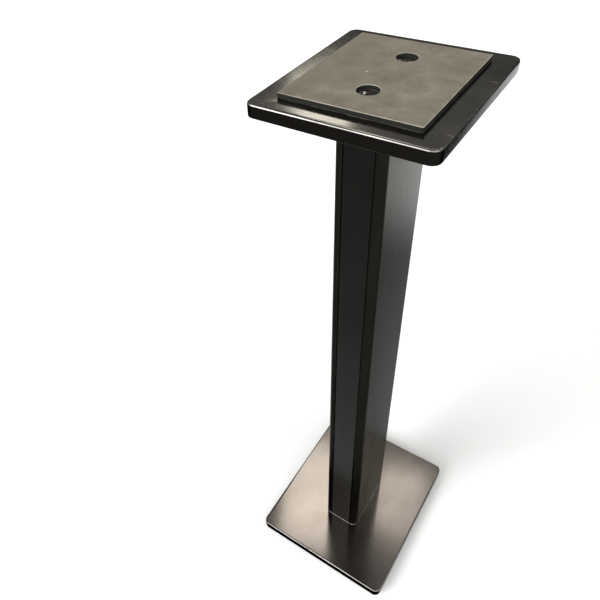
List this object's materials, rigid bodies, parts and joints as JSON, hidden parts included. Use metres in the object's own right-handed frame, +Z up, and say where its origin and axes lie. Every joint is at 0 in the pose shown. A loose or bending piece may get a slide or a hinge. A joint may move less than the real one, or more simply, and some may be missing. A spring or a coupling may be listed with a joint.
{
  "type": "column speaker stand",
  "caption": "Tall stand for a loudspeaker: rectangular black metal column between thick rounded plates, with a rubber pad on top, a pull-off cover strip and levelling feet.",
  "frame": {"origin": "on the floor, under the middle of the stand", "axes": "+Z up; +X to the stand's right seen from the front; the cover strip faces -Y, which is the front"},
  "size_m": [0.25, 0.296, 0.914],
  "materials": {
    "base_plate_finish": "satin graphite metal, faintly clouded",
    "top_plate_finish": "satin graphite, anodised",
    "black_profile": "satin black anodised extrusion",
    "pad_rubber": "matt grey-olive foam rubber, slightly mottled",
    "black_steel": "black oxide",
    "zinc_steel": "bright zinc plate",
    "glide_plastic": "moulded black"
  },
  "bodies": {
    "stand": {"base_plate": "base_plate_finish", "top_plate": "top_plate_finish", "column_profile": "black_profile", "top_pad": "pad_rubber", "top_bolt_front": "black_steel", "top_washer_front": "black_steel", "top_insert_front": "zinc_steel", "base_bolt_front": "black_steel", "base_washer_front": "black_steel", "base_insert_front": "zinc_steel", "top_bolt_rear": "black_steel", "top_washer_rear": "black_steel", "top_insert_rear": "zinc_steel", "base_bolt_rear": "black_steel", "base_washer_rear": "black_steel", "base_insert_rear": "zinc_steel"},
    "cover": {"front_cover_strip": "black_profile"},
    "glide_front_left": {"foot_glide_front_left": "glide_plastic"},
    "stud_front_left": {"foot_stud_front_left": "zinc_steel"},
    "glide_front_right": {"foot_glide_front_right": "glide_plastic"},
    "stud_front_right": {"foot_stud_front_right": "zinc_steel"},
    "glide_rear_left": {"foot_glide_rear_left": "glide_plastic"},
    "stud_rear_left": {"foot_stud_rear_left": "zinc_steel"},
    "glide_rear_right": {"foot_glide_rear_right": "glide_plastic"},
    "stud_rear_right": {"foot_stud_rear_right": "zinc_steel"}
  },
  "joints": [
    {"name": "cover_pull", "type": "slide", "parent": "stand", "child": "cover", "axis": [0, -1, 0], "range_m": [0, 0.03]},
    {"name": "foot_height_front_left", "type": "slide", "parent": "stand", "child": "glide_front_left", "axis": [0, 0, -1], "range_m": [0, 0.005]},
    {"name": "foot_screw_front_left", "type": "hinge", "parent": "glide_front_left", "child": "stud_front_left", "pos_m": [-0.101, -0.124, 0], "axis": [0, 0, -1], "range_deg": [0, 1440]},
    {"name": "foot_height_front_right", "type": "slide", "parent": "stand", "child": "glide_front_right", "axis": [0, 0, -1], "range_m": [0, 0.005]},
    {"name": "foot_screw_front_right", "type": "hinge", "parent": "glide_front_right", "child": "stud_front_right", "pos_m": [0.101, -0.124, 0], "axis": [0, 0, -1], "range_deg": [0, 1440]},
    {"name": "foot_height_rear_left", "type": "slide", "parent": "stand", "child": "glide_rear_left", "axis": [0, 0, -1], "range_m": [0, 0.005]},
    {"name": "foot_screw_rear_left", "type": "hinge", "parent": "glide_rear_left", "child": "stud_rear_left", "pos_m": [-0.101, 0.124, 0], "axis": [0, 0, -1], "range_deg": [0, 1440]},
    {"name": "foot_height_rear_right", "type": "slide", "parent": "stand", "child": "glide_rear_right", "axis": [0, 0, -1], "range_m": [0, 0.005]},
    {"name": "foot_screw_rear_right", "type": "hinge", "parent": "glide_rear_right", "child": "stud_rear_right", "pos_m": [0.101, 0.124, 0], "axis": [0, 0, -1], "range_deg": [0, 1440]}
  ],
  "couplings": [
    {"joint": "foot_screw_front_left", "follows": "foot_height_front_left", "rad_per_m": 5026.5},
    {"joint": "foot_screw_front_right", "follows": "foot_height_front_right", "rad_per_m": 5026.5},
    {"joint": "foot_screw_rear_left", "follows": "foot_height_rear_left", "rad_per_m": 5026.5},
    {"joint": "foot_screw_rear_right", "follows": "foot_height_rear_right", "rad_per_m": 5026.5}
  ]
}
